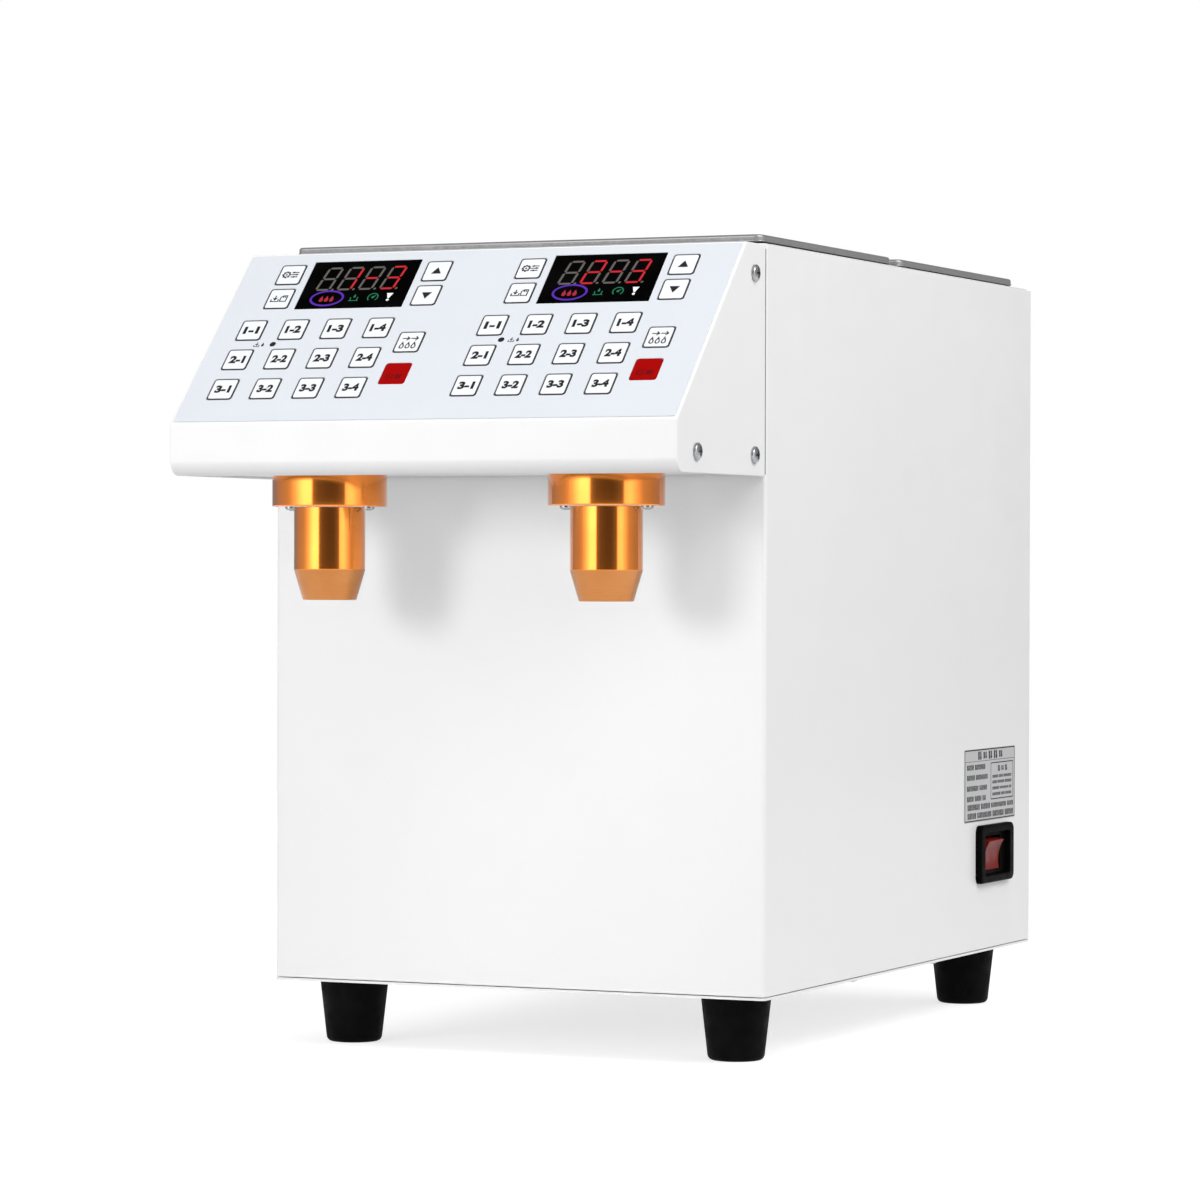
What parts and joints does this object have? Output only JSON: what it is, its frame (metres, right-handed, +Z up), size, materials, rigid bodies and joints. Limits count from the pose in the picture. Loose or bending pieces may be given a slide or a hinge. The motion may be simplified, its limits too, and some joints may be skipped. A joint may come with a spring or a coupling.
{
  "type": "syrup dispenser",
  "caption": "Two-headed counter dispenser for fructose syrup: a painted cabinet with tanks under lift-off lids, a sloped keypad head and two nozzles",
  "frame": {"origin": "centre of the footprint, on the surface that the feet stand on", "axes": "+X to the right of someone in front of the nozzles, +Y to the back, +Z up"},
  "size_m": [0.2759, 0.5142, 0.4078],
  "materials": {
    "painted_steel": "smooth white powder coat",
    "stainless": "brushed stainless steel",
    "rubber": "matt black rubber",
    "film": "pale blue-grey printed film",
    "white_key": "white printed film",
    "red_key": "red printed film",
    "display": "glossy black window",
    "board": "green circuit board",
    "gold_anodised": "satin gold-orange anodised, turned",
    "screw_steel": "bright zinc plated",
    "black_plastic": "black moulded plastic",
    "red_plastic": "red translucent plastic",
    "pump_metal": "machined aluminium",
    "motor_steel": "dark painted steel",
    "hose": "milky silicone",
    "supply_case": "plain sheet aluminium"
  },
  "bodies": {
    "cabinet": {"cabinet_shell": "painted_steel", "rear_cover": "painted_steel", "base_pan": "painted_steel", "rubber_feet": "rubber", "top_deck": "stainless", "front_tank": "stainless", "rear_tank": "stainless", "head_casing": "painted_steel", "head_floor": "painted_steel", "keypad_film": "film", "display_modules": "display", "control_boards": "board", "nozzle_collars": "gold_anodised", "nozzles": "gold_anodised", "machine_screws": "screw_steel", "switch_housing": "black_plastic", "pumps": "pump_metal", "pump_motors": "motor_steel", "hoses": "hose", "power_supply": "supply_case", "power_inlet": "black_plastic"},
    "front_lid_body": {"front_lid": "stainless"},
    "rear_lid_body": {"rear_lid": "stainless"},
    "switch_rocker_body": {"switch_rocker": "red_plastic"},
    "key_left_1_1_body": {"key_left_1_1": "white_key"},
    "key_left_1_2_body": {"key_left_1_2": "white_key"},
    "key_left_1_3_body": {"key_left_1_3": "white_key"},
    "key_left_1_4_body": {"key_left_1_4": "white_key"},
    "key_left_2_1_body": {"key_left_2_1": "white_key"},
    "key_left_2_2_body": {"key_left_2_2": "white_key"},
    "key_left_2_3_body": {"key_left_2_3": "white_key"},
    "key_left_2_4_body": {"key_left_2_4": "white_key"},
    "key_left_3_1_body": {"key_left_3_1": "white_key"},
    "key_left_3_2_body": {"key_left_3_2": "white_key"},
    "key_left_3_3_body": {"key_left_3_3": "white_key"},
    "key_left_3_4_body": {"key_left_3_4": "white_key"},
    "key_left_set_body": {"key_left_set": "white_key"},
    "key_left_save_body": {"key_left_save": "white_key"},
    "key_left_up_body": {"key_left_up": "white_key"},
    "key_left_down_body": {"key_left_down": "white_key"},
    "key_left_run_body": {"key_left_run": "white_key"},
    "key_left_stop_body": {"key_left_stop": "red_key"},
    "key_right_1_1_body": {"key_right_1_1": "white_key"},
    "key_right_1_2_body": {"key_right_1_2": "white_key"},
    "key_right_1_3_body": {"key_right_1_3": "white_key"},
    "key_right_1_4_body": {"key_right_1_4": "white_key"},
    "key_right_2_1_body": {"key_right_2_1": "white_key"},
    "key_right_2_2_body": {"key_right_2_2": "white_key"},
    "key_right_2_3_body": {"key_right_2_3": "white_key"},
    "key_right_2_4_body": {"key_right_2_4": "white_key"},
    "key_right_3_1_body": {"key_right_3_1": "white_key"},
    "key_right_3_2_body": {"key_right_3_2": "white_key"},
    "key_right_3_3_body": {"key_right_3_3": "white_key"},
    "key_right_3_4_body": {"key_right_3_4": "white_key"},
    "key_right_set_body": {"key_right_set": "white_key"},
    "key_right_save_body": {"key_right_save": "white_key"},
    "key_right_up_body": {"key_right_up": "white_key"},
    "key_right_down_body": {"key_right_down": "white_key"},
    "key_right_run_body": {"key_right_run": "white_key"},
    "key_right_stop_body": {"key_right_stop": "red_key"}
  },
  "joints": [
    {"name": "front_lid_lift", "type": "slide", "parent": "cabinet", "child": "front_lid_body", "axis": [0, 0, 1], "range_m": [0, 0.06]},
    {"name": "rear_lid_lift", "type": "slide", "parent": "cabinet", "child": "rear_lid_body", "axis": [0, 0, 1], "range_m": [0, 0.06]},
    {"name": "power_switch_rock", "type": "hinge", "parent": "cabinet", "child": "switch_rocker_body", "pos_m": [0.13, 0.1881, 0.0869], "axis": [0, -1, 0], "range_deg": [0, 20]},
    {"name": "key_left_1_1_press", "type": "slide", "parent": "cabinet", "child": "key_left_1_1_body", "axis": [0, 0.7215, -0.6924], "range_m": [0, 0.0004], "stiffness_N_per_m": 500, "springref_m": -0.001},
    {"name": "key_left_1_2_press", "type": "slide", "parent": "cabinet", "child": "key_left_1_2_body", "axis": [0, 0.7215, -0.6924], "range_m": [0, 0.0004], "stiffness_N_per_m": 500, "springref_m": -0.001},
    {"name": "key_left_1_3_press", "type": "slide", "parent": "cabinet", "child": "key_left_1_3_body", "axis": [0, 0.7215, -0.6924], "range_m": [0, 0.0004], "stiffness_N_per_m": 500, "springref_m": -0.001},
    {"name": "key_left_1_4_press", "type": "slide", "parent": "cabinet", "child": "key_left_1_4_body", "axis": [0, 0.7215, -0.6924], "range_m": [0, 0.0004], "stiffness_N_per_m": 500, "springref_m": -0.001},
    {"name": "key_left_2_1_press", "type": "slide", "parent": "cabinet", "child": "key_left_2_1_body", "axis": [0, 0.7215, -0.6924], "range_m": [0, 0.0004], "stiffness_N_per_m": 500, "springref_m": -0.001},
    {"name": "key_left_2_2_press", "type": "slide", "parent": "cabinet", "child": "key_left_2_2_body", "axis": [0, 0.7215, -0.6924], "range_m": [0, 0.0004], "stiffness_N_per_m": 500, "springref_m": -0.001},
    {"name": "key_left_2_3_press", "type": "slide", "parent": "cabinet", "child": "key_left_2_3_body", "axis": [0, 0.7215, -0.6924], "range_m": [0, 0.0004], "stiffness_N_per_m": 500, "springref_m": -0.001},
    {"name": "key_left_2_4_press", "type": "slide", "parent": "cabinet", "child": "key_left_2_4_body", "axis": [0, 0.7215, -0.6924], "range_m": [0, 0.0004], "stiffness_N_per_m": 500, "springref_m": -0.001},
    {"name": "key_left_3_1_press", "type": "slide", "parent": "cabinet", "child": "key_left_3_1_body", "axis": [0, 0.7215, -0.6924], "range_m": [0, 0.0004], "stiffness_N_per_m": 500, "springref_m": -0.001},
    {"name": "key_left_3_2_press", "type": "slide", "parent": "cabinet", "child": "key_left_3_2_body", "axis": [0, 0.7215, -0.6924], "range_m": [0, 0.0004], "stiffness_N_per_m": 500, "springref_m": -0.001},
    {"name": "key_left_3_3_press", "type": "slide", "parent": "cabinet", "child": "key_left_3_3_body", "axis": [0, 0.7215, -0.6924], "range_m": [0, 0.0004], "stiffness_N_per_m": 500, "springref_m": -0.001},
    {"name": "key_left_3_4_press", "type": "slide", "parent": "cabinet", "child": "key_left_3_4_body", "axis": [0, 0.7215, -0.6924], "range_m": [0, 0.0004], "stiffness_N_per_m": 500, "springref_m": -0.001},
    {"name": "key_left_set_press", "type": "slide", "parent": "cabinet", "child": "key_left_set_body", "axis": [0, 0.7215, -0.6924], "range_m": [0, 0.0004], "stiffness_N_per_m": 500, "springref_m": -0.001},
    {"name": "key_left_save_press", "type": "slide", "parent": "cabinet", "child": "key_left_save_body", "axis": [0, 0.7215, -0.6924], "range_m": [0, 0.0004], "stiffness_N_per_m": 500, "springref_m": -0.001},
    {"name": "key_left_up_press", "type": "slide", "parent": "cabinet", "child": "key_left_up_body", "axis": [0, 0.7215, -0.6924], "range_m": [0, 0.0004], "stiffness_N_per_m": 500, "springref_m": -0.001},
    {"name": "key_left_down_press", "type": "slide", "parent": "cabinet", "child": "key_left_down_body", "axis": [0, 0.7215, -0.6924], "range_m": [0, 0.0004], "stiffness_N_per_m": 500, "springref_m": -0.001},
    {"name": "key_left_run_press", "type": "slide", "parent": "cabinet", "child": "key_left_run_body", "axis": [0, 0.7215, -0.6924], "range_m": [0, 0.0004], "stiffness_N_per_m": 500, "springref_m": -0.001},
    {"name": "key_left_stop_press", "type": "slide", "parent": "cabinet", "child": "key_left_stop_body", "axis": [0, 0.7215, -0.6924], "range_m": [0, 0.0004], "stiffness_N_per_m": 500, "springref_m": -0.001},
    {"name": "key_right_1_1_press", "type": "slide", "parent": "cabinet", "child": "key_right_1_1_body", "axis": [0, 0.7215, -0.6924], "range_m": [0, 0.0004], "stiffness_N_per_m": 500, "springref_m": -0.001},
    {"name": "key_right_1_2_press", "type": "slide", "parent": "cabinet", "child": "key_right_1_2_body", "axis": [0, 0.7215, -0.6924], "range_m": [0, 0.0004], "stiffness_N_per_m": 500, "springref_m": -0.001},
    {"name": "key_right_1_3_press", "type": "slide", "parent": "cabinet", "child": "key_right_1_3_body", "axis": [0, 0.7215, -0.6924], "range_m": [0, 0.0004], "stiffness_N_per_m": 500, "springref_m": -0.001},
    {"name": "key_right_1_4_press", "type": "slide", "parent": "cabinet", "child": "key_right_1_4_body", "axis": [0, 0.7215, -0.6924], "range_m": [0, 0.0004], "stiffness_N_per_m": 500, "springref_m": -0.001},
    {"name": "key_right_2_1_press", "type": "slide", "parent": "cabinet", "child": "key_right_2_1_body", "axis": [0, 0.7215, -0.6924], "range_m": [0, 0.0004], "stiffness_N_per_m": 500, "springref_m": -0.001},
    {"name": "key_right_2_2_press", "type": "slide", "parent": "cabinet", "child": "key_right_2_2_body", "axis": [0, 0.7215, -0.6924], "range_m": [0, 0.0004], "stiffness_N_per_m": 500, "springref_m": -0.001},
    {"name": "key_right_2_3_press", "type": "slide", "parent": "cabinet", "child": "key_right_2_3_body", "axis": [0, 0.7215, -0.6924], "range_m": [0, 0.0004], "stiffness_N_per_m": 500, "springref_m": -0.001},
    {"name": "key_right_2_4_press", "type": "slide", "parent": "cabinet", "child": "key_right_2_4_body", "axis": [0, 0.7215, -0.6924], "range_m": [0, 0.0004], "stiffness_N_per_m": 500, "springref_m": -0.001},
    {"name": "key_right_3_1_press", "type": "slide", "parent": "cabinet", "child": "key_right_3_1_body", "axis": [0, 0.7215, -0.6924], "range_m": [0, 0.0004], "stiffness_N_per_m": 500, "springref_m": -0.001},
    {"name": "key_right_3_2_press", "type": "slide", "parent": "cabinet", "child": "key_right_3_2_body", "axis": [0, 0.7215, -0.6924], "range_m": [0, 0.0004], "stiffness_N_per_m": 500, "springref_m": -0.001},
    {"name": "key_right_3_3_press", "type": "slide", "parent": "cabinet", "child": "key_right_3_3_body", "axis": [0, 0.7215, -0.6924], "range_m": [0, 0.0004], "stiffness_N_per_m": 500, "springref_m": -0.001},
    {"name": "key_right_3_4_press", "type": "slide", "parent": "cabinet", "child": "key_right_3_4_body", "axis": [0, 0.7215, -0.6924], "range_m": [0, 0.0004], "stiffness_N_per_m": 500, "springref_m": -0.001},
    {"name": "key_right_set_press", "type": "slide", "parent": "cabinet", "child": "key_right_set_body", "axis": [0, 0.7215, -0.6924], "range_m": [0, 0.0004], "stiffness_N_per_m": 500, "springref_m": -0.001},
    {"name": "key_right_save_press", "type": "slide", "parent": "cabinet", "child": "key_right_save_body", "axis": [0, 0.7215, -0.6924], "range_m": [0, 0.0004], "stiffness_N_per_m": 500, "springref_m": -0.001},
    {"name": "key_right_up_press", "type": "slide", "parent": "cabinet", "child": "key_right_up_body", "axis": [0, 0.7215, -0.6924], "range_m": [0, 0.0004], "stiffness_N_per_m": 500, "springref_m": -0.001},
    {"name": "key_right_down_press", "type": "slide", "parent": "cabinet", "child": "key_right_down_body", "axis": [0, 0.7215, -0.6924], "range_m": [0, 0.0004], "stiffness_N_per_m": 500, "springref_m": -0.001},
    {"name": "key_right_run_press", "type": "slide", "parent": "cabinet", "child": "key_right_run_body", "axis": [0, 0.7215, -0.6924], "range_m": [0, 0.0004], "stiffness_N_per_m": 500, "springref_m": -0.001},
    {"name": "key_right_stop_press", "type": "slide", "parent": "cabinet", "child": "key_right_stop_body", "axis": [0, 0.7215, -0.6924], "range_m": [0, 0.0004], "stiffness_N_per_m": 500, "springref_m": -0.001}
  ]
}
